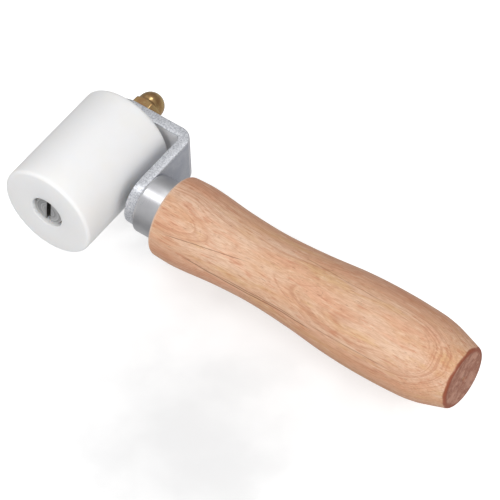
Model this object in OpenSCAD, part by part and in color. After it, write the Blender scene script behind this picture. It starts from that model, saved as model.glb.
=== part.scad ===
// Seam roller: a PTFE roller on a single-arm strip bracket, with a turned hardwood handle.
// Frame: origin at the middle of the roller on its axis. The roller turns about Y, the
// handle runs along +X, the bracket's arm and the acorn nut are on the +Y side, +Z is up.

/* [Roller] */
// Diameter of the roller
roller_d = 40; // [34:1:44]
// Width of the roller
roller_w = 50; // [44:1:56]
// Rounding of the roller's two rims
roller_rim_r = 1.5; // [0.5:0.25:2.5]
// Diameter of the recess round the screw head
recess_d = 14; // [13.5:0.25:16]
// How far the screw head sits below the roller's face
head_sink = 1.2; // [0.5:0.1:3]

/* [Axle] */
// Thread diameter of the axle screw
axle_d = 8; // [7:0.5:8]
// Length of the axle screw under its head
axle_len = 60; // [58:1:61]
// Diameter of the axle screw's slotted head
axle_head_d = 12.4; // [11:0.2:13]
// Height of the axle screw's slotted head
axle_head_h = 4.5; // [3.5:0.25:5]
// Outer diameter of the spacer sleeve that the roller turns on
sleeve_d = 10; // [9.8:0.1:10.6]
// Diameter of the washer under the screw head
head_washer_d = 13.2; // [12.6:0.1:13.4]
// Thickness of the washer under the screw head
head_washer_t = 1.2; // [0.8:0.1:1.6]
// Diameter of the washer between roller and arm
thrust_washer_d = 18; // [14:0.5:20]
// Thickness of the washer between roller and arm
thrust_washer_t = 1.4; // [1:0.1:1.6]

/* [Bracket] */
// Width of the steel strip
strip_w = 21; // [18:0.5:24]
// Thickness of the steel strip
strip_t = 4.5; // [3:0.25:5]
// Inside radius of the bend
bend_r = 2; // [1:0.5:4]
// Gap between the roller's far face and the arm
arm_gap = 2; // [1.8:0.1:3]
// Gap between the roller's surface and the web
web_gap = 4.2; // [3.5:0.1:8]

/* [Acorn nut] */
// Width across the nut's flats
nut_af = 12.6; // [12:0.1:13]
// Height of the nut's hexagon
nut_hex_h = 6.75; // [5.5:0.25:7]
// Radius of the nut's dome
nut_dome_r = 5.5; // [5.4:0.1:6]
// Height of the whole nut
nut_h = 13.7; // [13.5:0.1:16]

/* [Handle] */
// Length of the handle behind its ferrule
grip_len = 132; // [110:1:150]
// Handle's offset along the roller from the roller's middle
grip_y = 1.6; // [0:0.1:4]
// Diameter of the grip's front shoulder
shoulder_d = 33.4; // [31:0.2:36]
// Diameter of the grip's waist
waist_d = 29; // [27:0.5:31]
// Diameter of the grip's swell
swell_d = 35.4; // [33:0.2:38]
// Diameter of the grip where the butt's rounding starts
butt_d = 25.4; // [24:0.2:30]
// Radius of the rounding between grip and butt face
butt_r = 0.75; // [0.75:0.25:4]
// Rounding of the grip's front edge
shoulder_r = 1.4; // [0.5:0.1:2]
// Outer diameter of the ferrule
ferrule_d = 24; // [22:0.2:26]
// Length of the ferrule
ferrule_len = 11; // [9:0.1:16]
// Thickness of the ferrule's sheet
ferrule_t = 1; // [0.6:0.1:1.2]
// Thread diameter of the wood screw that holds the handle
wood_screw_d = 6; // [5:0.5:6]
// Length of the wood screw
wood_screw_len = 50; // [35:1:60]

/* [Hidden] */
$fn = 96;

// Joins: a small overshoot for cuts, a running gap on the axle and a slip gap elsewhere
cut = 1;
run_gap = 0.05;
slip_gap = 0.1;

// Places along Y
face_y = -roller_w / 2;
head_top_y = face_y + head_sink;
head_seat_y = head_top_y + axle_head_h;
sleeve_start_y = head_seat_y + head_washer_t;
end_play = 0.35;
recess_floor_y = sleeve_start_y + end_play;
arm_y = roller_w / 2 + arm_gap;
arm_back_y = arm_y + strip_t;

// Places along X
web_x = roller_d / 2 + web_gap;
web_back_x = web_x + strip_t;
grip_x = web_back_x + ferrule_len;

// Slots and chamfers of the screws
slot_w = 2;
slot_depth = 2;
slot_turn = 6;
head_edge_r = 0.6;
thread_chamfer = 1;
wood_head_d = 11;
wood_head_h = (wood_head_d - wood_screw_d) / 2;
wood_slot_w = 1.4;
wood_slot_depth = 1.3;
wood_tip_len = 8;

// The nut's dome and hexagon
nut_hex_r = nut_af / sqrt(3);
nut_dome_y = nut_h - nut_dome_r;
nut_chamfer_angle = 42;
nut_hole_depth = nut_h - 3.5;

// The grip's radii, and its profile as a list of [share of its length, radius]
shoulder_radius = shoulder_d / 2;
waist_radius = waist_d / 2;
swell_radius = swell_d / 2;
butt_radius = butt_d / 2;
butt_slope_angle = 20;
butt_start = 1 - butt_r * (1 - sin(butt_slope_angle)) / grip_len;
grip_stations = [
    [0, shoulder_radius - 0.2],
    [0.079, shoulder_radius],
    [0.212, blend(waist_radius, shoulder_radius, 0.27)],
    [0.335, waist_radius],
    [0.473, blend(waist_radius, swell_radius, 0.3)],
    [0.606, blend(waist_radius, swell_radius, 0.83)],
    [0.729, swell_radius],
    [0.857, blend(swell_radius, butt_radius, 0.12)],
    [0.906, blend(swell_radius, butt_radius, 0.31)],
    [0.94, blend(swell_radius, butt_radius, 0.56)],
    [butt_start, butt_radius]
];
grip_steps = 6;
butt_steps = 6;
dimple_r = 1.3;
dimple_depth = 1.2;

// Turns a shape made along +Z so that it runs along +Y or +X
module along_y() { rotate([-90, 0, 0]) children(); }
module along_x() { rotate([0, 90, 0]) children(); }

// A ring or tube along Y, from one place to another
module tube_y(from_y, to_y, outer_r, inner_r) {
    translate([0, from_y, 0]) along_y() difference() {
        cylinder(r = outer_r, h = to_y - from_y);
        translate([0, 0, -cut]) cylinder(r = inner_r, h = to_y - from_y + 2 * cut);
    }
}

// Half profile of a disc with rounded rims, for turning about Z
module rounded_rim_profile(r, h, rim_r) {
    square([r - rim_r, h]);
    translate([0, rim_r]) square([r, h - 2 * rim_r]);
    for (z = [rim_r, h - rim_r]) translate([r - rim_r, z]) circle(r = rim_r);
}

module roller() {
    color("white") difference() {
        translate([0, face_y, 0]) along_y() rotate_extrude()
            rounded_rim_profile(roller_d / 2, roller_w, roller_rim_r);
        translate([0, face_y - cut, 0]) along_y()
            cylinder(r = sleeve_d / 2 + run_gap, h = roller_w + 2 * cut);
        translate([0, face_y - cut, 0]) along_y()
            cylinder(d = recess_d, h = recess_floor_y - face_y + cut);
    }
}

// Slotted cheese-head screw that carries the roller
module axle_screw() {
    color("silver") difference() {
        union() {
            translate([0, head_top_y, 0]) along_y() rotate_extrude() {
                translate([0, head_edge_r]) square([axle_head_d / 2, axle_head_h - head_edge_r]);
                square([axle_head_d / 2 - head_edge_r, axle_head_h]);
                translate([axle_head_d / 2 - head_edge_r, head_edge_r]) circle(r = head_edge_r);
            }
            translate([0, head_seat_y - cut, 0]) along_y()
                cylinder(r = axle_d / 2 - run_gap, h = axle_len - thread_chamfer + cut);
            translate([0, head_seat_y + axle_len - thread_chamfer, 0]) along_y()
                cylinder(r1 = axle_d / 2 - run_gap, r2 = axle_d / 2 - thread_chamfer,
                         h = thread_chamfer);
        }
        rotate([0, slot_turn, 0]) translate([-slot_w / 2, head_top_y - cut, -axle_head_d])
            cube([slot_w, slot_depth + cut, 2 * axle_head_d]);
    }
}

module head_washer() {
    color("gainsboro")
        tube_y(head_seat_y, sleeve_start_y, head_washer_d / 2, axle_d / 2 + slip_gap);
}

module axle_sleeve() {
    color("gray") tube_y(sleeve_start_y, arm_y, sleeve_d / 2, axle_d / 2 + slip_gap);
}

module thrust_washer() {
    color("gainsboro")
        tube_y(arm_y - thrust_washer_t, arm_y, thrust_washer_d / 2, sleeve_d / 2 + slip_gap);
}

// Outline of the bent strip seen from above: arm, bend and web
module strip_profile() {
    bend_x = web_x - bend_r;
    bend_y = arm_y - bend_r;
    outer_r = bend_r + strip_t;
    translate([0, arm_y]) square([bend_x, strip_t]);
    translate([web_x, grip_y]) square([strip_t, bend_y - grip_y]);
    translate([bend_x, bend_y]) intersection() {
        difference() {
            circle(r = outer_r);
            circle(r = bend_r);
        }
        square(outer_r + cut);
    }
}

// One flat strip bent square: the arm holds the axle, the web holds the handle
module bracket() {
    color("lightgray") difference() {
        union() {
            translate([0, 0, -strip_w / 2]) linear_extrude(height = strip_w) strip_profile();
            translate([0, arm_y, 0]) along_y() cylinder(d = strip_w, h = strip_t);
            translate([web_x, grip_y, 0]) along_x() cylinder(d = strip_w, h = strip_t);
        }
        translate([0, arm_y - cut, 0]) along_y()
            cylinder(r = axle_d / 2 + slip_gap, h = strip_t + 2 * cut);
        translate([web_x - cut, grip_y, 0]) along_x()
            cylinder(r = wood_screw_d / 2 + slip_gap, h = strip_t + 2 * cut);
        translate([web_x - slip_gap, grip_y, 0]) along_x()
            cylinder(r1 = wood_head_d / 2 + 2 * slip_gap, r2 = wood_screw_d / 2 + slip_gap,
                     h = wood_head_h + slip_gap);
    }
}

// Domed brass nut: a chamfered hexagon with a round cap, blind on the outside
module acorn_nut() {
    color("goldenrod") translate([0, arm_back_y, 0]) along_y() difference() {
        union() {
            intersection() {
                rotate([0, 0, 30]) cylinder(r = nut_hex_r, h = nut_hex_h, $fn = 6);
                rotate_extrude() chamfered_blank();
            }
            cylinder(r = nut_dome_r, h = nut_dome_y);
            translate([0, 0, nut_dome_y]) sphere(r = nut_dome_r);
        }
        translate([0, 0, -cut]) cylinder(d = axle_d, h = nut_hole_depth + cut);
    }
}

// Half profile of the turned blank that chamfers the nut's hexagon at its top
module chamfered_blank() {
    chamfer_h = (nut_hex_r - nut_dome_r) * tan(nut_chamfer_angle);
    polygon([[0, 0], [nut_hex_r, 0], [nut_hex_r, nut_hex_h - chamfer_h],
             [nut_dome_r, nut_hex_h], [0, nut_hex_h]]);
}

// Countersunk wood screw through the web and the ferrule into the handle
module handle_screw() {
    core_len = wood_screw_len - wood_head_h - wood_tip_len;
    color("silver") translate([web_x, grip_y, 0]) along_x() difference() {
        union() {
            cylinder(r1 = wood_head_d / 2, r2 = wood_screw_d / 2, h = wood_head_h);
            translate([0, 0, wood_head_h]) cylinder(d = wood_screw_d, h = core_len);
            translate([0, 0, wood_head_h + core_len])
                cylinder(r1 = wood_screw_d / 2, r2 = 0.4, h = wood_tip_len);
        }
        translate([-wood_head_d, -wood_slot_w / 2, -cut])
            cube([2 * wood_head_d, wood_slot_w, wood_slot_depth + cut]);
    }
}

// Drawn steel cap on the handle's spigot, closed against the web
module ferrule() {
    color("gainsboro") translate([web_back_x, grip_y, 0]) along_x() difference() {
        rotate_extrude() {
            translate([0, ferrule_t]) square([ferrule_d / 2, ferrule_len - ferrule_t]);
            square([ferrule_d / 2 - ferrule_t, ferrule_t + cut]);
            translate([ferrule_d / 2 - ferrule_t, ferrule_t]) circle(r = ferrule_t);
        }
        translate([0, 0, ferrule_t]) cylinder(d = ferrule_d - 2 * ferrule_t, h = ferrule_len);
        translate([0, 0, -cut]) cylinder(r = wood_screw_d / 2 + slip_gap, h = ferrule_t + 2 * cut);
    }
}

function blend(a, b, share) = a + (b - a) * share;

// Smooth curve through the grip's stations: span i runs from station i to station i + 1
function station(i) = grip_stations[max(0, min(i, len(grip_stations) - 1))];
function slope(i) =
    (station(i + 1)[1] - station(i - 1)[1]) / (station(i + 1)[0] - station(i - 1)[0]);
function curved_radius(i, u) =
    let (span = station(i + 1)[0] - station(i)[0])
    (1 + 2 * u) * (1 - u) ^ 2 * station(i)[1] + u * (1 - u) ^ 2 * span * slope(i)
    + u ^ 2 * (3 - 2 * u) * station(i + 1)[1] + u ^ 2 * (u - 1) * span * slope(i + 1);
function grip_point(i, u) =
    [curved_radius(i, u), grip_len * blend(station(i)[0], station(i + 1)[0], u)];

// Half profile of the grip: rounded shoulder, smooth curve, rounded butt
module grip_profile() {
    shoulder = [for (a = [0:15:90])
        [station(0)[1] - shoulder_r * (1 - sin(a)), shoulder_r * (1 - cos(a))]];
    curve = [for (i = [0:len(grip_stations) - 2], k = [0:grip_steps - 1])
        let (p = grip_point(i, k / grip_steps)) if (p[1] > shoulder_r) p];
    butt = [for (k = [0:butt_steps])
        let (a = blend(butt_slope_angle, 90, k / butt_steps))
        [butt_radius - butt_r * (cos(butt_slope_angle) - cos(a)),
         grip_len - butt_r * (1 - sin(a))]];
    polygon(concat([[0, 0]], shoulder, curve, butt, [[0, grip_len]]));
}

// Turned hardwood handle with a spigot for the ferrule and a lathe mark in its butt
module handle() {
    spigot_r = ferrule_d / 2 - ferrule_t - slip_gap / 2;
    spigot_len = ferrule_len - ferrule_t;
    color("burlywood") translate([grip_x, grip_y, 0]) along_x() difference() {
        union() {
            rotate_extrude() grip_profile();
            translate([0, 0, -spigot_len]) cylinder(r = spigot_r, h = spigot_len + cut);
        }
        translate([0, 0, web_x - grip_x])
            cylinder(r = wood_screw_d / 2 + slip_gap / 2,
                     h = wood_screw_len - wood_tip_len);
        translate([0, 0, web_x - grip_x + wood_screw_len - wood_tip_len])
            cylinder(r1 = wood_screw_d / 2 + slip_gap / 2, r2 = 0.5, h = wood_tip_len);
        translate([0, 0, grip_len - dimple_depth])
            cylinder(r1 = 0, r2 = dimple_r, h = dimple_depth);
    }
}

handle();
ferrule();
bracket();
handle_screw();
axle_screw();
head_washer();
axle_sleeve();
roller();
thrust_washer();
acorn_nut();
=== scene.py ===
import math
import bmesh
import bpy
from mathutils import Euler, Matrix, Vector


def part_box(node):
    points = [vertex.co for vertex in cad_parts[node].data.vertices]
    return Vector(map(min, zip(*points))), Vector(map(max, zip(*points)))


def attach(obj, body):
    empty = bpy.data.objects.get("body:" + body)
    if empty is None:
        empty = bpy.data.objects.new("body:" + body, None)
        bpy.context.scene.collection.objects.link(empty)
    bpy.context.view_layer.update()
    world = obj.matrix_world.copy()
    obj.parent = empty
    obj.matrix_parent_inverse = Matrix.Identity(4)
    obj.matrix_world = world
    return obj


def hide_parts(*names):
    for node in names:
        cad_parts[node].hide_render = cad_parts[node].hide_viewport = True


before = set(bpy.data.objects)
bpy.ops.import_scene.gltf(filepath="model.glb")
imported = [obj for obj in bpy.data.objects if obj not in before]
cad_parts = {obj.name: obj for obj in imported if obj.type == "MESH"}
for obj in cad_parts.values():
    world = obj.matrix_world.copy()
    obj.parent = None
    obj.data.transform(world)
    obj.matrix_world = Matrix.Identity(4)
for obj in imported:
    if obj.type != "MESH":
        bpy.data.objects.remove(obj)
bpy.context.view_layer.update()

MM = 0.001
TAU = 2 * math.pi


# ---------------------------------------------------------------- places, all read from the frame
def span(node, axis):
    """Lowest and highest coordinate of a CAD node along axis 0, 1 or 2."""
    low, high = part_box(node)
    return low[axis], high[axis]


def middle(node, axis):
    """Middle of a CAD node along an axis."""
    low, high = span(node, axis)
    return (low + high) / 2


X, Y, Z = 0, 1, 2
roller_front, roller_back = span("roller", Y)
roller_r = span("roller", Z)[1]
head_top, screw_end = span("axle_screw", Y)
head_r = span("axle_screw", X)[1]
washer_start, washer_end = span("head_washer", Y)
washer_r = span("head_washer", Z)[1]
sleeve_start, sleeve_end = span("axle_sleeve", Y)
sleeve_r = span("axle_sleeve", Z)[1]
thrust_start, thrust_end = span("thrust_washer", Y)
thrust_r = span("thrust_washer", Z)[1]
nut_start, nut_end = span("acorn_nut", Y)
nut_corner_r = span("acorn_nut", Z)[1]
nut_flat_r = span("acorn_nut", X)[1]
strip_half = span("bracket", Z)[1]
web_back = span("bracket", X)[1]
web_front = span("handle_screw", X)[0]
arm_front = sleeve_end
strip_t = web_back - web_front
grip_y = middle("handle", Y)
ferrule_start, grip_start = span("ferrule", X)
ferrule_r = span("ferrule", Z)[1]
spigot_start, butt_x = span("handle", X)
grip_len = butt_x - grip_start
swell_r = span("handle", Z)[1]
wood_screw_end = span("handle_screw", X)[1]
wood_head_r = span("handle_screw", Z)[1]

# sizes that the boxes above don't show
RIM_R = 1.5 * MM                        # rounding of the roller's two rims
RECESS_R = 7 * MM                       # recess round the screw's head
RECESS_FLOOR = washer_end + 0.35 * MM
BORE_R = sleeve_r + 0.05 * MM
AXLE_R = 3.95 * MM
AXLE_HOLE_R = 4.1 * MM                  # in the arm, the head washer and the sleeve
SLOT_W = 2 * MM
SLOT_DEPTH = 2 * MM
SLOT_TURN = math.radians(6)
WOOD_SCREW_R = 3 * MM
WOOD_HOLE_R = 3.1 * MM                  # in the web and the ferrule
WOOD_SLOT_W = 1.4 * MM
WOOD_SLOT_DEPTH = 1.3 * MM
WOOD_TIP = 8 * MM                       # length of the wood screw's point
FERRULE_T = 1 * MM
BEND_R = 2 * MM                         # inside of the strip's bend
EDGE_R = 0.5 * MM                       # rounding of the strip's cut edges
SWELL_AT = 0.729                        # the grip's widest place, as a share of its length
SHARP_ANGLE = 35                        # degrees between faces above which an edge stays sharp


# ---------------------------------------------------------------- mesh helpers
def fillet(points, radii, steps=6):
    """A polyline with its corners rounded: radii has one radius per point, 0 for a sharp one."""
    made = []
    for i, (here, r) in enumerate(zip(points, radii)):
        here = Vector(here)
        if r == 0:
            made.append(here)
            continue
        back = (Vector(points[i - 1]) - here).normalized()
        ahead = (Vector(points[(i + 1) % len(points)]) - here).normalized()
        half = math.acos(max(-1, min(1, back.dot(ahead)))) / 2
        centre = here + (back + ahead).normalized() * (r / math.sin(half))
        reach = r / math.tan(half)
        start = here + back * reach - centre
        end = here + ahead * reach - centre
        turn = start.angle_signed(end)
        for k in range(steps + 1):
            a = -turn * k / steps
            made.append(centre + Vector((start.x * math.cos(a) - start.y * math.sin(a),
                                         start.x * math.sin(a) + start.y * math.cos(a))))
    return [tuple(p) for p in made]


def place(axis, r, angle, along, offset_y=0.0):
    """A point at radius r and angle round the Y axis, or round the handle's own axis for X."""
    c, s = r * math.cos(angle), r * math.sin(angle)
    return (c, along, s) if axis == Y else (along, c + offset_y, s)


def shade(mesh, sharp_angle=SHARP_ANGLE):
    """Smooth shading, with the sharp edges kept."""
    for face in mesh.polygons:
        face.use_smooth = True
    mesh.set_sharp_from_angle(angle=math.radians(sharp_angle))


def new_object(name, bm, material, sharp_angle=SHARP_ANGLE):
    """Turns a bmesh into an object in the scene, with its doubles merged and its faces outward."""
    bmesh.ops.remove_doubles(bm, verts=bm.verts, dist=1e-7)
    bmesh.ops.recalc_face_normals(bm, faces=bm.faces)
    mesh = bpy.data.meshes.new(name)
    bm.to_mesh(mesh)
    bm.free()
    shade(mesh, sharp_angle)
    made = bpy.data.objects.new(name, mesh)
    bpy.context.scene.collection.objects.link(made)
    made.data.materials.append(material)
    return made


def lathe(name, outline, axis, material, loop=False, segments=128, offset_y=0.0, shape=None):
    """Turns an outline of (radius, place) points about an axis. A loop makes a ring with a hole.
    shape(radius, place, angle) may change the radius, for what isn't quite round."""
    bm = bmesh.new()
    rings = []
    for r, along in outline:
        if r < 1e-9:
            rings.append([bm.verts.new(place(axis, 0, 0, along, offset_y))])
            continue
        ring = []
        for k in range(segments):
            angle = TAU * k / segments
            radius = shape(r, along, angle) if shape else r
            ring.append(bm.verts.new(place(axis, radius, angle, along, offset_y)))
        rings.append(ring)
    pairs = list(zip(rings, rings[1:]))
    if loop:
        pairs.append((rings[-1], rings[0]))
    for a, b in pairs:
        for k in range(segments):
            n = (k + 1) % segments
            corners = [a[k % len(a)], a[n % len(a)], b[n % len(b)], b[k % len(b)]]
            corners = list(dict.fromkeys(corners))
            if len(corners) > 2:
                bm.faces.new(corners)
    return new_object(name, bm, material)


def ring_outline(inner, outer, start, end, edge):
    """Closed outline of a ring with softly broken edges."""
    corners = [(inner, start), (outer, start), (outer, end), (inner, end)]
    return fillet(corners, [edge] * 4, 4)


def cut_with(piece, cutter):
    """Cuts cutter out of piece for good, and deletes cutter."""
    tool = piece.modifiers.new("cut", "BOOLEAN")
    tool.operation = "DIFFERENCE"
    tool.solver = "EXACT"
    tool.object = cutter
    shape = piece.evaluated_get(bpy.context.evaluated_depsgraph_get())
    mesh = bpy.data.meshes.new_from_object(shape)
    piece.modifiers.clear()
    piece.data = mesh
    shade(mesh)
    bpy.data.objects.remove(cutter)


def block(name, low, high):
    """A plain box to cut a slot with."""
    bm = bmesh.new()
    bmesh.ops.create_cube(bm, size=1)
    size = Vector(high) - Vector(low)
    bmesh.ops.scale(bm, verts=bm.verts, vec=size)
    bmesh.ops.translate(bm, verts=bm.verts, vec=(Vector(low) + Vector(high)) / 2)
    return new_object(name, bm, None)


def soften(piece, width):
    """Breaks a piece's edges that turn by more than 40 degrees."""
    bevel = piece.modifiers.new("broken_edges", "BEVEL")
    bevel.width = width
    bevel.segments = 2
    bevel.limit_method = "ANGLE"
    bevel.angle_limit = math.radians(40)
    bevel.harden_normals = True
    return piece


# ---------------------------------------------------------------- material helpers
class Nodes:
    """A material's node tree, with short calls for the few nodes that are used here."""

    def __init__(self, name, **shader):
        self.material = bpy.data.materials.new(name)
        self.material.use_nodes = True
        self.tree = self.material.node_tree
        self.shader = next(n for n in self.tree.nodes if n.type == "BSDF_PRINCIPLED")
        for socket, value in shader.items():
            self.shader.inputs[socket.replace("_", " ")].default_value = value
        self.where = self.add("ShaderNodeTexCoord").outputs["Object"]

    def add(self, kind, inputs=None, **settings):
        """A new node, with its inputs fed by values or by other nodes' sockets."""
        node = self.tree.nodes.new(kind)
        for key, value in settings.items():
            setattr(node, key, value)
        for key, value in (inputs or {}).items():
            self.feed(node.inputs[key], value)
        return node

    def feed(self, socket, value):
        if isinstance(value, bpy.types.NodeSocket):
            self.tree.links.new(value, socket)
        else:
            socket.default_value = value

    def stretch(self, scale, offset=(0, 0, 0)):
        """The place on the piece in metres, times a scale per axis, moved by an offset."""
        inputs = {"Vector": self.where, "Scale": scale, "Location": offset}
        return self.add("ShaderNodeMapping", inputs).outputs["Vector"]

    def noise(self, vector, detail=2.0, roughness=0.5):
        inputs = {"Vector": vector, "Scale": 1.0, "Detail": detail, "Roughness": roughness}
        return self.add("ShaderNodeTexNoise", inputs).outputs["Fac"]

    def math(self, operation, a, b=0.0):
        return self.add("ShaderNodeMath", {0: a, 1: b}, operation=operation).outputs[0]

    def plus(self, a, b):
        return self.math("ADD", a, b)

    def minus(self, a, b):
        return self.math("SUBTRACT", a, b)

    def times(self, a, b):
        return self.math("MULTIPLY", a, b)

    def between(self, value, low, high, to_low=0.0, to_high=1.0):
        """Smoothly maps low..high to to_low..to_high, and holds outside."""
        inputs = {"Value": value, "From Min": low, "From Max": high, "To Min": to_low,
                  "To Max": to_high}
        node = self.add("ShaderNodeMapRange", inputs, interpolation_type="SMOOTHSTEP")
        return node.outputs["Result"]

    def mix(self, share, a, b):
        """Colour a with a share of colour b in it."""
        node = self.add("ShaderNodeMix", data_type="RGBA")
        for socket, value in zip((node.inputs[0], node.inputs[6], node.inputs[7]), (share, a, b)):
            self.feed(socket, value)
        return node.outputs[2]

    def coats(self, color, layers):
        """A colour with layers of (share, colour) laid over it in turn."""
        for share, paint in layers:
            color = self.mix(share, color, paint)
        return color

    def part(self, axis):
        """The place on the piece along one axis."""
        return self.add("ShaderNodeSeparateXYZ", {"Vector": self.where}).outputs[axis]

    def join(self, x, y, z):
        return self.add("ShaderNodeCombineXYZ", {"X": x, "Y": y, "Z": z}).outputs[0]

    def distance(self, a, b):
        """Length of the flat vector (a, b)."""
        return self.math("SQRT", self.plus(self.times(a, a), self.times(b, b)))

    def bump(self, height, depth, normal=None):
        """Relief of depth metres where height runs from 0 to 1."""
        inputs = {"Height": height, "Strength": 1.0, "Distance": depth}
        if normal is not None:
            inputs["Normal"] = normal
        return self.add("ShaderNodeBump", inputs).outputs["Normal"]

    def finish(self, color, roughness=None, normal=None):
        """Feeds the shader and gives back the material."""
        for socket, value in (("Base Color", color), ("Roughness", roughness), ("Normal", normal)):
            if value is not None:
                self.feed(self.shader.inputs[socket], value)
        return self.material


def rgb(r, g, b):
    """A colour given as 0 to 255 screen values, as the shader's linear one."""
    def linear(v):
        v /= 255
        return v / 12.92 if v <= 0.04045 else ((v + 0.055) / 1.055) ** 2.4
    return (linear(r), linear(g), linear(b), 1.0)


def grey(level):
    return rgb(level, level, level)


# ---------------------------------------------------------------- materials
WOOD = {name: rgb(*levels) for name, levels in {
    "pale": (228, 192, 164), "mid": (220, 174, 139), "rosy": (226, 174, 142),
    "golden": (219, 178, 130), "flank": (209, 144, 108), "late_ring": (196, 130, 94),
    "thin_ring": (184, 120, 88), "fleck": (196, 122, 88), "pale_fleck": (240, 209, 178),
    "fibre": (172, 114, 82), "line": (132, 84, 58), "pore": (146, 94, 66),
    "pale_front_band": (238, 214, 192), "end_light": (180, 126, 102), "end_dark": (156, 98, 76),
    "end_speck": (150, 92, 70), "end_chalk": (214, 168, 144), "end_stain": (216, 166, 142),
    "lathe_mark": (110, 66, 52), "rim": (150, 80, 54)}.items()}


class Wood(Nodes):
    """Wood of a handle that is cut flat across its growth rings on the side that faces up and
    forward, so rings show as loops there and as close lines on the flanks."""
    FLAT_Y, FLAT_Z = -0.523, 0.852      # direction of the flat-cut side, seen along the handle
    PITH = 55 * MM                      # depth of the tree's middle behind the handle's

    def __init__(self):
        super().__init__("hardwood", Roughness=0.5, Specular_IOR_Level=0.35)
        self.x = self.part(X)
        self.y = self.minus(self.part(Y), grip_y)
        self.z = self.part(Z)
        self.depth = self.plus(self.times(self.y, self.FLAT_Y), self.times(self.z, self.FLAT_Z))
        self.across = self.minus(self.times(self.z, self.FLAT_Y), self.times(self.y, self.FLAT_Z))
        drift = self.noise(self.stretch((16, 42, 42), (3, 1, 2)), 2.0)
        ring_r = self.distance(self.plus(self.depth, self.PITH), self.across)
        self.ring_r = self.plus(ring_r, self.times(drift, 5.0 * MM))
        self.sway = self.times(self.noise(self.stretch((32, 20, 20), (8, 1, 5)), 2.0, 0.5), 2 * MM)
        self.strayed = self.plus(self.across, self.sway)

    def ring_layers(self, ring_scale, along_scale, across_scale, detail, roughness):
        """Noise in thin layers that follow the growth rings."""
        where = self.join(self.times(self.ring_r, ring_scale), self.times(self.x, along_scale),
                          self.times(self.across, across_scale))
        return self.noise(where, detail, roughness)

    def streaks(self, along_scale, across_scale, offset, detail=3.0, roughness=0.6):
        """Noise stretched along the grain. Streaks of every size sway together."""
        where = self.join(self.plus(self.times(self.x, along_scale), offset),
                          self.times(self.plus(self.depth, self.sway), across_scale),
                          self.times(self.strayed, across_scale))
        return self.noise(where, detail, roughness)

    def grain_line(self, at, lean, start, end, half_width, strength):
        """A long dark line on the flat-cut side, which fades in and out along X."""
        level = self.minus(self.plus(self.strayed, self.times(self.x, lean)), at)
        line = self.between(self.math("ABSOLUTE", level), half_width * 0.3, half_width, 1, 0)
        fade = self.times(self.between(self.x, start, start + 6 * MM),
                          self.between(self.x, end - 9 * MM, end, 1, 0))
        facing = self.between(self.depth, 0, 2 * MM)
        return self.times(self.times(line, strength), self.times(fade, facing))

    def grain_lines(self):
        """Two lines low on the front, one that slants in from the ferrule, and two faint ones."""
        lines = [self.grain_line(13.3 * MM, 0.006, 54 * MM, 118 * MM, 0.22 * MM, 0.75),
                 self.grain_line(12.5 * MM, 0.004, 72 * MM, 112 * MM, 0.20 * MM, 0.6),
                 self.grain_line(17.9 * MM, 0.19, 45 * MM, 84 * MM, 0.22 * MM, 0.6),
                 self.grain_line(10.2 * MM, -0.01, 112 * MM, 152 * MM, 0.2 * MM, 0.45),
                 self.grain_line(-9.9 * MM, -0.008, 96 * MM, 140 * MM, 0.2 * MM, 0.35)]
        darkest = lines[0]
        for line in lines[1:]:
            darkest = self.math("MAXIMUM", darkest, line)
        return darkest

    def long_grain(self, fibre):
        """Colour of the grip's sides, from broad patches down to fine fibres."""
        blotch, tint = self.streaks(26, 110, 1), self.streaks(30, 190, 5)
        fleck, pale_fleck = self.streaks(150, 900, 9, 2.0), self.streaks(120, 760, 14, 2.0)
        late = self.between(self.ring_layers(760, 9, 26, 3.0, 0.62), 0.50, 0.72)
        thin = self.between(self.ring_layers(3300, 14, 30, 1.0, 0.4), 0.56, 0.68)
        flank = self.between(self.math("ABSOLUTE", self.across), 9.5 * MM, 15.5 * MM)
        color = self.mix(self.between(blotch, 0.36, 0.64), WOOD["pale"], WOOD["mid"])
        return self.coats(color, [
            (self.between(tint, 0.50, 0.66, 0, 0.65), WOOD["rosy"]),
            (self.between(tint, 0.32, 0.47, 0.6, 0), WOOD["golden"]),
            (self.times(flank, self.between(blotch, 0.3, 0.6, 0.75, 0.25)), WOOD["flank"]),
            (self.times(late, 0.34), WOOD["late_ring"]),
            (self.times(thin, 0.42), WOOD["thin_ring"]),
            (self.between(fleck, 0.55, 0.70, 0, 0.46), WOOD["fleck"]),
            (self.between(pale_fleck, 0.54, 0.72, 0, 0.45), WOOD["pale_fleck"]),
            (self.between(fibre, 0.38, 0.62, 0.28, 0), WOOD["fibre"])])

    def end_grain(self, from_centre):
        """Colour of the butt: arcs of end grain, specks, stains and the lathe's mark."""
        arc = self.ring_layers(1250, 0, 160, 3.0, 0.6)
        speck = self.noise(self.stretch((500, 620, 620), (6, 6, 6)), 4.0, 0.75)
        stain = self.noise(self.stretch((260, 260, 260), (2, 6, 1)), 3.0, 0.6)
        color = self.mix(self.between(arc, 0.36, 0.64), WOOD["end_light"], WOOD["end_dark"])
        return self.coats(color, [
            (self.between(speck, 0.48, 0.60, 0, 0.8), WOOD["end_speck"]),
            (self.between(speck, 0.34, 0.44, 0.5, 0), WOOD["end_chalk"]),
            (self.between(stain, 0.44, 0.62, 0, 0.5), WOOD["end_stain"]),
            (self.between(from_centre, 0, 1.7 * MM, 0.6, 0), WOOD["lathe_mark"])])

    def worn_rim(self, from_centre):
        """Share of the dark, ragged rim round the butt."""
        ragged = self.between(self.noise(self.stretch((60, 200, 200)), 2.0), 0.3, 0.7,
                              -0.4 * MM, 0.4 * MM)
        near_butt = self.between(self.plus(self.x, ragged), butt_x - 1.0 * MM, butt_x - 0.3 * MM)
        return self.times(near_butt, self.between(from_centre, 10.4 * MM, 11.4 * MM))


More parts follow.
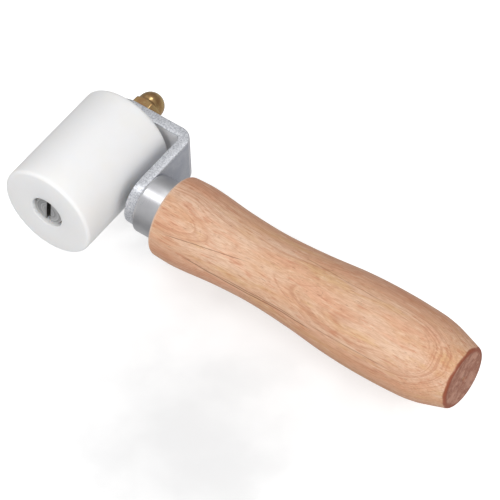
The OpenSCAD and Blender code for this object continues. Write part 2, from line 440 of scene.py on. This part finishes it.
def hardwood():
    """Turned and sanded hardwood: fine fibres, short pores and a few long dark lines run along X,
    and the butt shows darker end grain."""
    n = Wood()
    fibre = n.streaks(260, 2600, 20)
    line = n.grain_lines()
    pore = n.between(n.noise(n.stretch((330, 3600, 3600), (1, 2, 3)), 1.0, 0.4), 0.69, 0.80)
    from_centre = n.distance(n.y, n.z)
    color = n.coats(n.long_grain(fibre), [
        (line, WOOD["line"]),
        (n.times(pore, 0.42), WOOD["pore"]),
        (n.between(n.x, butt_x - 0.9 * MM, butt_x - 0.3 * MM), n.end_grain(from_centre)),
        (n.times(n.worn_rim(from_centre), 0.9), WOOD["rim"]),
        # a paler band round the grip's rounded front edge
        (n.between(n.x, grip_start + 0.3 * MM, grip_start + 1.6 * MM, 0.6, 0),
         WOOD["pale_front_band"])])
    roughness = n.between(fibre, 0.3, 0.75, 0.54, 0.42)
    turning = n.noise(n.stretch((2600, 12, 12)), 2.0)
    normal = n.bump(fibre, 0.05 * MM)
    normal = n.bump(n.minus(1.0, n.math("MAXIMUM", pore, line)), 0.1 * MM, normal)
    normal = n.bump(turning, 0.02 * MM, normal)
    return n.finish(color, roughness, normal)


def white_ptfe():
    """Turned PTFE: white, waxy, with faint marks of the cutter and of handling."""
    white, warm_white, handled = rgb(249, 248, 247), rgb(247, 245, 243), rgb(222, 219, 215)
    n = Nodes("white_ptfe", Subsurface_Weight=0.8, Subsurface_Radius=(0.9, 0.85, 0.8),
              Subsurface_Scale=0.004, Specular_IOR_Level=0.35)
    cloud = n.noise(n.stretch((70, 70, 70)), 3.0)
    scuff = n.noise(n.stretch((900, 2600, 900), (2, 2, 2)), 3.0, 0.65)
    cutter = n.math("SINE", n.times(n.distance(n.part(X), n.part(Z)), 15000))
    color = n.mix(n.between(cloud, 0.3, 0.75), white, warm_white)
    color = n.mix(n.between(scuff, 0.62, 0.8, 0, 0.12), color, handled)
    roughness = n.between(scuff, 0.3, 0.7, 0.38, 0.52)
    normal = n.bump(cutter, 0.004 * MM)
    normal = n.bump(scuff, 0.01 * MM, normal)
    return n.finish(color, roughness, normal)


def zinc_strip():
    """Zinc-plated strip: smooth blue-grey faces, an inner arm face painted near white as painted
    light for the light that reaches it between the roller and the web, and sheared edges that are
    paler and mottled, partly as bare metal and partly as a painted highlight where they face the
    light."""
    face_dark, face_light, cut_dark = rgb(182, 186, 196), rgb(200, 203, 210), rgb(188, 190, 196)
    # bright is the near white of the painted light on the arm's inner face
    cut_light, spot, bright = rgb(224, 226, 230), rgb(150, 153, 160), rgb(248, 248, 249)
    n = Nodes("zinc_strip", Metallic=0.6, Specular_IOR_Level=0.4)
    x, y, z = n.part(X), n.minus(n.part(Y), grip_y), n.part(Z)
    from_ends = n.math("MAXIMUM", n.distance(n.math("MINIMUM", x, 0.0), z),
                       n.distance(n.math("MINIMUM", y, 0.0), z))
    edge = n.between(from_ends, strip_half - 0.7 * MM, strip_half - 0.3 * MM)
    cloud = n.noise(n.stretch((190, 190, 190)), 4.0, 0.65)
    spots = n.noise(n.stretch((1500, 1500, 1500), (4, 1, 7)), 4.0, 0.7)
    streak = n.noise(n.stretch((600, 600, 5200)), 2.0)
    face = n.mix(n.between(cloud, 0.36, 0.66), face_dark, face_light)
    face = n.mix(n.between(spots, 0.55, 0.75, 0, 0.3), face, spot)
    # partly real, partly painted highlight: the cut edges are paler than the faces as bare sheared
    # metal and also to stand for the light they catch facing up
    cut = n.mix(n.between(spots, 0.40, 0.60), cut_dark, cut_light)
    cut = n.mix(n.between(spots, 0.32, 0.44, 0.5, 0), cut, spot)
    # painted light: the arm's inner face, round arm_front, is coloured near white for the light
    # that reaches it through the gap between the roller and the web
    painted_light_inner_face = n.times(n.between(n.part(Y), arm_front - 0.4 * MM, arm_front - 0.2 * MM),
                     n.between(n.part(Y), arm_front + 0.2 * MM, arm_front + 0.4 * MM, 1, 0))
    color = n.mix(edge, n.mix(painted_light_inner_face, face, bright), cut)
    roughness = n.minus(n.between(cloud, 0.3, 0.7, 0.34, 0.46), n.times(edge, 0.08))
    normal = n.bump(n.times(spots, n.between(edge, 0, 1, 0.2, 1)), 0.05 * MM)
    normal = n.bump(streak, 0.008 * MM, normal)
    return n.finish(color, roughness, normal)


def polished_steel():
    """Spun and polished ferrule, with hair-fine marks round it."""
    n = Nodes("polished_steel", Metallic=1.0)
    marks = n.noise(n.stretch((5200, 60, 60)), 3.0, 0.6)
    cloud = n.noise(n.stretch((120, 120, 120)), 3.0)
    color = n.mix(n.between(cloud, 0.3, 0.7), rgb(205, 205, 208), rgb(219, 219, 221))
    roughness = n.plus(n.between(cloud, 0.35, 0.7, 0.25, 0.32), n.times(marks, 0.06))
    return n.finish(color, roughness, n.bump(marks, 0.004 * MM))


def turned_steel(name, bright, rough, slot_shade=0.0):
    """Steel turned about Y: fine rings on its faces and round its side. bright is the level of
    its palest rings, and the last argument is the share of painted shade that darkens the slot
    below the screw head's top."""
    ring_scale = 1900
    n = Nodes(name, Metallic=1.0)
    x, y, z = n.part(X), n.part(Y), n.part(Z)
    ring_at = n.plus(n.times(n.distance(x, z), ring_scale), n.times(y, ring_scale))
    rings = n.noise(n.join(ring_at, n.times(x, 60), 0.0), 3.0, 0.6)
    cloud = n.noise(n.stretch((300, 300, 300)), 3.0)
    # painted shade: below the head's top the steel is darkened towards rgb(66, 60, 56), standing
    # for the shade in the slot
    slot_shade_mask = n.between(y, head_top + 0.1 * MM, head_top + 0.5 * MM)
    color = n.coats(grey(bright - 64), [
        (n.between(rings, 0.3, 0.7), grey(bright)),
        (n.between(cloud, 0.5, 0.75, 0, 0.25), grey(bright - 60)),
        (n.times(slot_shade_mask, slot_shade), rgb(66, 60, 56))])
    roughness = n.between(rings, 0.3, 0.7, rough + 0.08, rough)
    return n.finish(color, roughness, n.bump(rings, 0.01 * MM))


def nut_brass():
    """Polished brass, turned and lightly tarnished in patches."""
    n = Nodes("nut_brass", Metallic=1.0)
    cloud = n.noise(n.stretch((260, 260, 260), (3, 0, 1)), 4.0, 0.6)
    fine = n.noise(n.stretch((1800, 1800, 1800)), 3.0, 0.6)
    color = n.mix(n.between(cloud, 0.35, 0.68), rgb(214, 186, 132), rgb(184, 142, 98))
    color = n.mix(n.between(fine, 0.55, 0.75, 0, 0.3), color, rgb(150, 112, 78))
    roughness = n.between(cloud, 0.3, 0.7, 0.12, 0.24)
    return n.finish(color, roughness, n.bump(fine, 0.006 * MM))


# ---------------------------------------------------------------- pieces
def make_roller(material):
    """Solid roller with rounded rims, a bore for the sleeve and a recess for the screw's head."""
    edge = 0.35 * MM
    corners = [(BORE_R, RECESS_FLOOR), (RECESS_R, RECESS_FLOOR), (RECESS_R, roller_front),
               (roller_r, roller_front), (roller_r, roller_back), (BORE_R, roller_back)]
    outline = fillet(corners, [edge, edge, edge, RIM_R, RIM_R, edge], 8)
    return lathe("ptfe_roller", outline, Y, material, loop=True, segments=192)


def make_axle_screw(material):
    """Screw with a low round head, a slot that stands a little off upright, and a chamfered end."""
    chamfer = 1 * MM
    corners = [(0, head_top), (head_r, head_top), (head_r, washer_start), (AXLE_R, washer_start),
               (AXLE_R, screw_end - chamfer), (AXLE_R - chamfer, screw_end), (0, screw_end)]
    outline = fillet(corners, [0, 0.6 * MM, 0.2 * MM, 0, 0, 0, 0], 6)
    screw = lathe("slotted_axle_screw", outline, Y, material)
    slot_half = SLOT_W / 2
    reach = 2 * head_r
    slot = block("slot", (-slot_half, head_top - reach, -reach),
                 (slot_half, head_top + SLOT_DEPTH, reach))
    slot.data.transform(Matrix.Rotation(SLOT_TURN, 4, "Y"))
    cut_with(screw, slot)
    return soften(screw, 0.12 * MM)


def make_wood_screw(material):
    """Countersunk slotted screw that holds the web and the ferrule to the handle."""
    head_h = wood_head_r - WOOD_SCREW_R
    outline = [(0, web_front), (wood_head_r, web_front), (WOOD_SCREW_R, web_front + head_h),
               (WOOD_SCREW_R, wood_screw_end - WOOD_TIP), (0.4 * MM, wood_screw_end),
               (0, wood_screw_end)]
    screw = lathe("countersunk_wood_screw", outline, X, material, segments=64, offset_y=grip_y)
    reach = 2 * wood_head_r
    cut_with(screw, block("slot", (web_front - MM, grip_y - reach, -WOOD_SLOT_W / 2),
                          (web_front + WOOD_SLOT_DEPTH, grip_y + reach, WOOD_SLOT_W / 2)))
    return screw


def make_ferrule(material):
    """Drawn cup that is open towards the wood, with the screw's hole in its floor."""
    inner, floor = ferrule_r - FERRULE_T, ferrule_start + FERRULE_T
    corners = [(WOOD_HOLE_R, ferrule_start), (ferrule_r, ferrule_start), (ferrule_r, grip_start),
               (inner, grip_start), (inner, floor), (WOOD_HOLE_R, floor)]
    radii = [0.1 * MM, 1.3 * MM, 0.25 * MM, 0.25 * MM, 0.3 * MM, 0.1 * MM]
    return lathe("drawn_ferrule", fillet(corners, radii, 8), X, material, loop=True,
                 segments=160, offset_y=grip_y)


def smooth_min(a, b, width):
    """The lower of a and b, with the corner between them rounded over width."""
    h = max(0.0, width - abs(a - b)) / width
    return min(a, b) - h * h * width / 4


def make_nut(material):
    """Acorn nut: a hexagon chamfered at both ends, a slight neck and a round dome."""
    hex_top = nut_start + 6.75 * MM
    dome_r = 5.5 * MM
    dome_centre = nut_end - dome_r
    neck_r = dome_r - 0.12 * MM
    hole_r = 4 * MM
    top_chamfer, foot_chamfer = math.tan(math.radians(48)), math.tan(math.radians(30))

    def hexagon(r, along, angle):
        if along > hex_top + 0.01 * MM or r <= hole_r:
            return r
        flat = nut_flat_r / math.cos((angle % (TAU / 6)) - TAU / 12)
        flat = smooth_min(flat, nut_corner_r * 0.995, 0.2 * MM)
        chamfer = neck_r + 0.1 * MM + (hex_top - along) * top_chamfer
        foot = nut_flat_r + 0.2 * MM + (along - nut_start) / foot_chamfer
        return smooth_min(smooth_min(flat, chamfer, 0.25 * MM), foot, 0.3 * MM)

    hole_end = nut_start + 10 * MM
    outline = [(0, hole_end), (hole_r, hole_end), (hole_r, nut_start)]
    # heights of the hexagon's rings in mm, closest where the chamfer cuts the flats
    levels = [0, 0.1, 0.2, 0.35, 0.6, 1, 2, 3, 4, 4.6, 4.9, 5.1, 5.3, 5.5, 5.7, 5.85, 6.0, 6.15,
              6.3, 6.4, 6.5, 6.6, 6.67, 6.72]
    outline += [(nut_corner_r, nut_start + level * MM) for level in levels]
    outline += [(neck_r + 0.05 * MM, hex_top + 0.02 * MM), (neck_r, hex_top + 0.1 * MM),
                (neck_r, hex_top + 0.4 * MM), (dome_r - 0.03 * MM, hex_top + 0.8 * MM),
                (dome_r, hex_top + 1.1 * MM)]
    steps = 24
    for k in range(steps + 1):
        a = math.pi / 2 * k / steps
        outline.append((dome_r * math.cos(a) if k < steps else 0,
                        dome_centre + dome_r * math.sin(a)))
    return lathe("brass_acorn_nut", outline, Y, material, segments=192, shape=hexagon)


def blend(a, b, share):
    return a + (b - a) * share


def smooth_curve(stations, steps=16):
    """Points of a smooth curve through stations of (share of the length, radius)."""
    last = len(stations) - 1

    def slope(i):
        (u0, r0), (u1, r1) = stations[max(i - 1, 0)], stations[min(i + 1, last)]
        return (r1 - r0) / (u1 - u0)

    points = []
    for i in range(last):
        (u0, r0), (u1, r1) = stations[i], stations[i + 1]
        for k in range(steps):
            t = k / steps
            r = ((1 + 2 * t) * (1 - t) ** 2 * r0 + t * (1 - t) ** 2 * (u1 - u0) * slope(i)
                 + t * t * (3 - 2 * t) * r1 + t * t * (t - 1) * (u1 - u0) * slope(i + 1))
            points.append((blend(u0, u1, t), r))
    return points


def grip_outline():
    """The grip from its rounded front edge to the mark that the lathe left in its butt."""
    shoulder_r, waist_r, end_r = 16.7 * MM, 14.5 * MM, 12.7 * MM
    front_r = shoulder_r - 0.2 * MM
    front_round, butt_round = 1.4 * MM, 1.5 * MM
    lean = math.radians(20)             # slope of the side where it meets the butt's rounding
    stations = [(0, front_r), (0.079, shoulder_r),
                (0.212, blend(waist_r, shoulder_r, 0.27)), (0.335, waist_r),
                (0.473, blend(waist_r, swell_r, 0.3)), (0.606, blend(waist_r, swell_r, 0.83)),
                (SWELL_AT, swell_r), (0.857, blend(swell_r, end_r, 0.12)),
                (0.906, blend(swell_r, end_r, 0.31)), (0.94, blend(swell_r, end_r, 0.56)),
                (1 - butt_round * (1 - math.sin(lean)) / grip_len, end_r)]
    side = [(r, grip_start + share * grip_len) for share, r in smooth_curve(stations)
            if share * grip_len > front_round]
    front = [(front_r - front_round * (1 - math.sin(a)),
              grip_start + front_round * (1 - math.cos(a)))
             for a in (math.pi / 2 * k / 10 for k in range(11))]
    butt = [(end_r - butt_round * (math.cos(lean) - math.cos(a)),
             butt_x - butt_round * (1 - math.sin(a)))
            for a in (blend(lean, math.pi / 2, k / 12) for k in range(13))]
    face = [(blend(butt[-1][0], 1.5 * MM, k / 6), butt_x) for k in range(1, 7)]
    lathe_mark = [(1.25 * MM, butt_x - 0.1 * MM), (0.6 * MM, butt_x - 0.75 * MM),
                  (0, butt_x - 1.2 * MM)]
    return front + side + butt + face + lathe_mark


def make_handle(material):
    """The grip, with the spigot that fills the ferrule and the screw's pilot hole."""
    spigot_r = ferrule_r - FERRULE_T - 0.05 * MM
    pilot_r = WOOD_SCREW_R + 0.05 * MM
    spigot = [(0, wood_screw_end), (pilot_r, wood_screw_end - WOOD_TIP), (pilot_r, spigot_start),
              (spigot_r - 0.3 * MM, spigot_start), (spigot_r, spigot_start + 0.3 * MM),
              (spigot_r, grip_start)]

    def hand_turned(r, along, angle):
        if along < grip_start + 2 * MM or along > butt_x - 3 * MM:
            return r
        s = (along - grip_start) / grip_len
        wobble = math.sin(2 * angle + 5 * s) * 0.05 + math.sin(3 * angle - 9 * s + 1) * 0.03
        return r + wobble * MM * math.sin(math.pi * s)

    return lathe("turned_handle", spigot + grip_outline(), X, material, segments=160,
                 offset_y=grip_y, shape=hand_turned)


def flat_strip(length):
    """Bmesh of the strip before it is bent: rounded ends, broken edges and two holes, with the
    axle's hole at 0 and the wood screw's at length."""
    flat = bpy.data.curves.new("flat_strip", "CURVE")
    flat.dimensions = "2D"
    flat.fill_mode = "BOTH"
    flat.extrude = strip_t / 2 - EDGE_R
    flat.bevel_depth = EDGE_R
    flat.bevel_resolution = 4

    def loop(points):
        spline = flat.splines.new("POLY")
        spline.points.add(len(points) - 1)
        for point, (u, v) in zip(spline.points, points):
            point.co = (u, v, 0, 1)
        spline.use_cyclic_u = True

    def arc(centre, r, start, turn, steps):
        return [(centre + r * math.cos(start + turn * k / steps),
                 r * math.sin(start + turn * k / steps)) for k in range(steps + 1)]

    # the curve's bevel widens every loop by EDGE_R
    end_r = strip_half - EDGE_R
    loop(arc(0, end_r, math.pi / 2, math.pi, 40) + arc(length, end_r, -math.pi / 2, math.pi, 40))
    loop(arc(0, AXLE_HOLE_R + EDGE_R, 0, TAU, 48)[:-1])
    loop(arc(length, WOOD_HOLE_R + EDGE_R, 0, TAU, 48)[:-1])
    holder = bpy.data.objects.new("flat_strip", flat)
    bpy.context.scene.collection.objects.link(holder)
    shape = holder.evaluated_get(bpy.context.evaluated_depsgraph_get())
    bm = bmesh.new()
    bm.from_mesh(bpy.data.meshes.new_from_object(shape))
    bpy.data.objects.remove(holder)
    bmesh.ops.remove_doubles(bm, verts=bm.verts, dist=1e-6)
    return bm


def make_bracket(material):
    """One flat strip bent square: the arm carries the axle and the web carries the handle."""
    arm_run = web_front - BEND_R
    bend_run = (BEND_R + strip_t / 2) * math.pi / 2
    web_run = arm_front - BEND_R - grip_y
    length = arm_run + bend_run + web_run
    bm = flat_strip(length)
    cuts = 16
    for k in range(cuts + 1):
        at = arm_run + bend_run * k / cuts
        everything = bm.verts[:] + bm.edges[:] + bm.faces[:]
        bmesh.ops.bisect_plane(bm, geom=everything, plane_co=(at, 0, 0), plane_no=(1, 0, 0),
                               dist=1e-7)
    centre_x, centre_y = web_front - BEND_R, arm_front - BEND_R
    for vert in bm.verts:
        u, v, depth = vert.co
        out = BEND_R + strip_t / 2 + depth
        if u <= arm_run:
            vert.co = (u, centre_y + out, v)
        elif u >= arm_run + bend_run:
            vert.co = (centre_x + out, grip_y + (length - u), v)
        else:
            a = (u - arm_run) / bend_run * math.pi / 2
            vert.co = (centre_x + out * math.sin(a), centre_y + out * math.cos(a), v)
    return new_object("bent_strip", bm, material, sharp_angle=50)


# ---------------------------------------------------------------- build and attach
# the screw steel carries 0.85 of the painted shade in its slot
steel_screw = turned_steel("screw_steel", 246, 0.34, slot_shade=0.85)
steel_washer = turned_steel("washer_steel", 205, 0.3)
steel_sleeve = turned_steel("sleeve_steel", 190, 0.25)
FRAME_BODY = "tool_frame"
ROLLER_BODY = "roller_body"

pieces = [
    (make_handle(hardwood()), "handle", "hardwood", FRAME_BODY),
    (make_ferrule(polished_steel()), "ferrule", "polished_steel", FRAME_BODY),
    (make_bracket(zinc_strip()), "bracket", "zinc_strip", FRAME_BODY),
    (make_wood_screw(steel_screw), "handle_screw", "screw_steel", FRAME_BODY),
    (make_axle_screw(steel_screw), "axle_screw", "screw_steel", FRAME_BODY),
    (make_nut(nut_brass()), "acorn_nut", "nut_brass", FRAME_BODY),
    (make_roller(white_ptfe()), "roller", "white_ptfe", ROLLER_BODY),
    (lathe("head_washer_ring", ring_outline(AXLE_HOLE_R, washer_r, washer_start, washer_end,
                                            0.2 * MM), Y, steel_washer, loop=True),
     "head_washer", "washer_steel", FRAME_BODY),
    (lathe("spacer_sleeve", ring_outline(AXLE_HOLE_R, sleeve_r, sleeve_start, sleeve_end,
                                         0.15 * MM), Y, steel_sleeve, loop=True),
     "axle_sleeve", "sleeve_steel", FRAME_BODY),
    (lathe("thrust_washer_ring", ring_outline(sleeve_r + 0.1 * MM, thrust_r, thrust_start,
                                              thrust_end, 0.25 * MM), Y, steel_washer, loop=True),
     "thrust_washer", "washer_steel", FRAME_BODY),
]
for piece, node, slot, body in pieces:
    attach(piece, body)
    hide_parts(node)

# ---------------------------------------------------------------- stage, light and camera
scene = bpy.context.scene
scene.view_settings.view_transform = "Standard"


def pale_floor():
    """Matte paper that glows a little, with one faint painted shadow, a grey cloud in front of the
    handle.
    """
    painted_shadow_x, painted_shadow_y = 0.097, -0.066
    cos_turn, sin_turn = 0.8, 0.6       # the cloud's long axis, turned to run away from the camera
    n = Nodes("pale_floor", Roughness=0.9, Specular_IOR_Level=0.1)
    n.shader.inputs["Emission Color"].default_value = (1, 1, 1, 1)
    pale = n.mix(n.noise(n.stretch((3, 3, 3)), 2.0), grey(206), grey(211))
    x, y = n.minus(n.part(X), painted_shadow_x), n.minus(n.part(Y), painted_shadow_y)
    sideways = n.plus(n.times(x, cos_turn), n.times(y, sin_turn))
    lengthways = n.minus(n.times(y, cos_turn), n.times(x, sin_turn))
    uneven = n.between(n.noise(n.stretch((35, 35, 35)), 3.0), 0.3, 0.7, -0.009, 0.009)
    from_painted_shadow = n.plus(uneven, n.distance(sideways, n.times(lengthways, 0.8)))
    # painted shadow: the floor's colour and glow fall to 0.64 in the cloud's middle and rise back
    # to full 0.105 m out
    painted_shadow_tone = n.plus(n.between(from_painted_shadow, 0, 0.072, 0.64, 0.80),
                  n.between(from_painted_shadow, 0.072, 0.105, 0, 0.20))
    n.feed(n.shader.inputs["Emission Strength"], n.times(painted_shadow_tone, 0.75))
    return n.finish(n.mix(painted_shadow_tone, grey(0), pale))


def make_floor():
    """A pale plane that touches the roller and the handle's swell, so it tips by about a degree."""
    swell_x = grip_start + SWELL_AT * grip_len
    tip = math.asin((roller_r - swell_r) / swell_x)
    half = 3.0
    mesh = bpy.data.meshes.new("floor")
    mesh.from_pydata([(-half, -half, 0), (half, -half, 0), (half, half, 0), (-half, half, 0)], [],
                     [(0, 1, 2, 3)])
    mesh.materials.append(pale_floor())
    floor = bpy.data.objects.new("floor", mesh)
    scene.collection.objects.link(floor)
    floor.rotation_euler = Euler((0, -tip, 0))
    floor.location = (roller_r * math.sin(tip), 0, -roller_r * math.cos(tip))
    floor.visible_glossy = False
    floor.visible_diffuse = False


def make_world():
    """A light tent as bare metal sees it: palest overhead and in front, dark low at the back."""
    world = bpy.data.worlds.new("studio")
    scene.world = world
    world.use_nodes = True
    tree = world.node_tree
    background = tree.nodes["Background"]
    where = tree.nodes.new("ShaderNodeTexCoord")
    facing = tree.nodes.new("ShaderNodeVectorMath")
    facing.operation = "DOT_PRODUCT"
    facing.inputs[1].default_value = (-0.30, -0.40, 0.85)
    shift = tree.nodes.new("ShaderNodeMapRange")
    shift.inputs["From Min"].default_value = -1
    ramp = tree.nodes.new("ShaderNodeValToRGB")
    tree.links.new(where.outputs["Generated"], facing.inputs[0])
    tree.links.new(facing.outputs["Value"], shift.inputs["Value"])
    tree.links.new(shift.outputs["Result"], ramp.inputs[0])
    tree.links.new(ramp.outputs[0], background.inputs["Color"])
    # grey levels from low at the back to overhead in front, by place from 0 to 1
    stops = [(0.0, 0.52), (0.28, 0.46), (0.45, 0.31), (0.62, 0.38), (0.78, 0.54), (1.0, 0.72)]
    while len(ramp.color_ramp.elements) < len(stops):
        ramp.color_ramp.elements.new(0.5)
    for stop, (at, level) in zip(ramp.color_ramp.elements, stops):
        stop.position = at
        stop.color = (level, level, level * 1.01, 1)


def make_light(name, towards, distance, size, power, mirrored=True):
    """A square soft box that looks at the roller from a direction. A mirrored one shows in gloss,
    and one that isn't only fills the matte sides."""
    data = bpy.data.lights.new(name, "AREA")
    data.size = size
    data.energy = power
    lamp = bpy.data.objects.new(name, data)
    scene.collection.objects.link(lamp)
    lamp.visible_glossy = mirrored
    lamp.location = Vector(towards).normalized() * distance
    lamp.rotation_euler = (-Vector(towards)).to_track_quat("-Z", "Y").to_euler()


def make_camera(azimuth, elevation, roll, lens, distance, target):
    """A long lens at a distance from its target. Angles are in degrees, and azimuth 0 looks
    along +Y."""
    data = bpy.data.cameras.new("camera")
    data.lens = lens
    data.sensor_width = 36
    camera = bpy.data.objects.new("camera", data)
    scene.collection.objects.link(camera)
    a, e = math.radians(azimuth), math.radians(elevation)
    back = Vector((math.sin(a) * math.cos(e), -math.cos(a) * math.cos(e), math.sin(e)))
    camera.location = Vector(target) + back * distance
    turned = (-back).to_track_quat("-Z", "Y").to_matrix() @ Matrix.Rotation(
        math.radians(roll), 3, "Z")
    camera.rotation_euler = turned.to_euler()
    scene.camera = camera


make_floor()
make_world()
make_light("overhead_softbox", (-0.38, -0.10, 0.92), 0.9, 0.36, 0.85)
make_light("back_softbox", (-0.10, 0.40, 0.91), 0.9, 0.28, 0.6)
make_light("frontal", (0.1, -0.93, 0.35), 1.2, 0.8, 5.0, mirrored=False)
make_light("right_fill", (0.85, -0.25, 0.45), 1.2, 0.8, 5.2, mirrored=False)
make_camera(azimuth=37.99, elevation=51.73, roll=-2.19, lens=279.9, distance=1.4501,
            target=(0.0731, 0.0048, 0.0))
